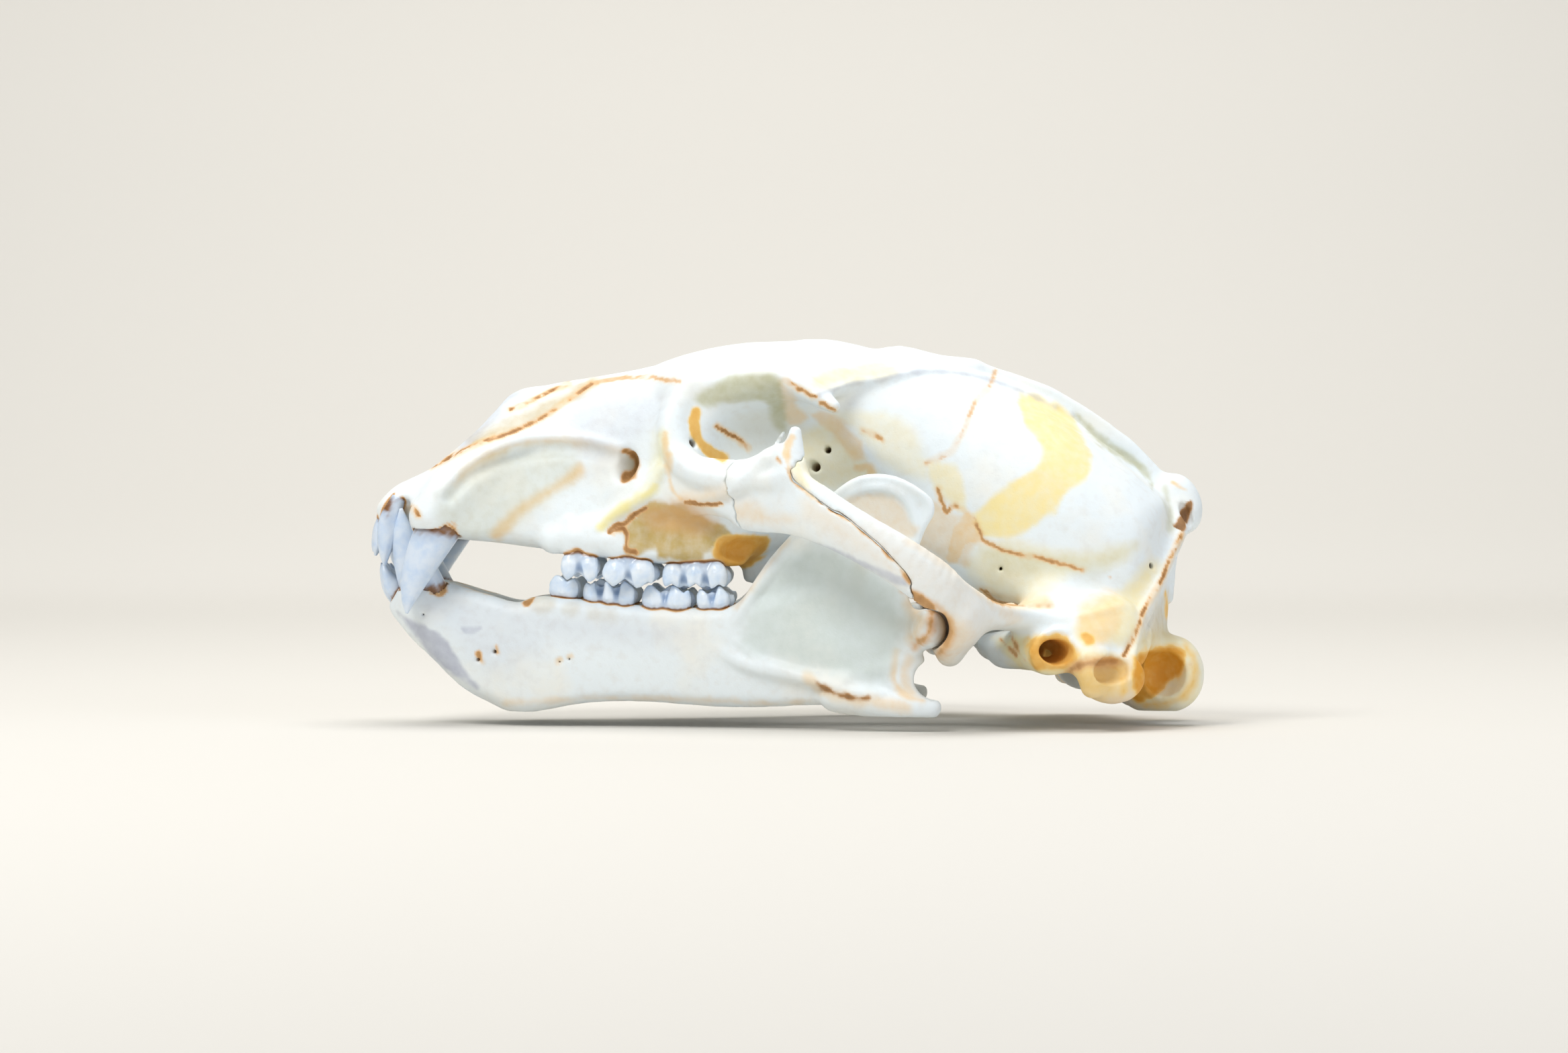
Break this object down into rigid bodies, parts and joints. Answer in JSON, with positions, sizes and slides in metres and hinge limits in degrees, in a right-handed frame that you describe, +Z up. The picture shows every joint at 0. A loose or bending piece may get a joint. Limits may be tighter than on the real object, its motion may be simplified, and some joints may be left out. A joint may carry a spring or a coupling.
{
  "type": "polar bear skull with lower jaw",
  "caption": "Polar bear skull with its lower jaw closed, teeth in place, resting on chin, jaw angles and occipital condyles; a still life-size natural history model.",
  "frame": {"origin": "on the surface the skull rests on, at the middle of its length and width", "axes": "+X from the snout to the back of the head, +Y to the animal's right, +Z up"},
  "size_m": [0.3457, 0.2104, 0.1541],
  "materials": {
    "bone": "dry bone, chalky off-white with straw and ochre stains in the hollows",
    "tooth": "enamel, cool white, satin"
  },
  "bodies": {
    "root": {"cranium": "bone", "jugal_left": "bone", "jugal_right": "bone", "mandible_left": "bone", "mandible_right": "bone", "canine_upper_left": "tooth", "canine_upper_right": "tooth", "canine_lower_left": "tooth", "canine_lower_right": "tooth"}
  },
  "joints": []
}
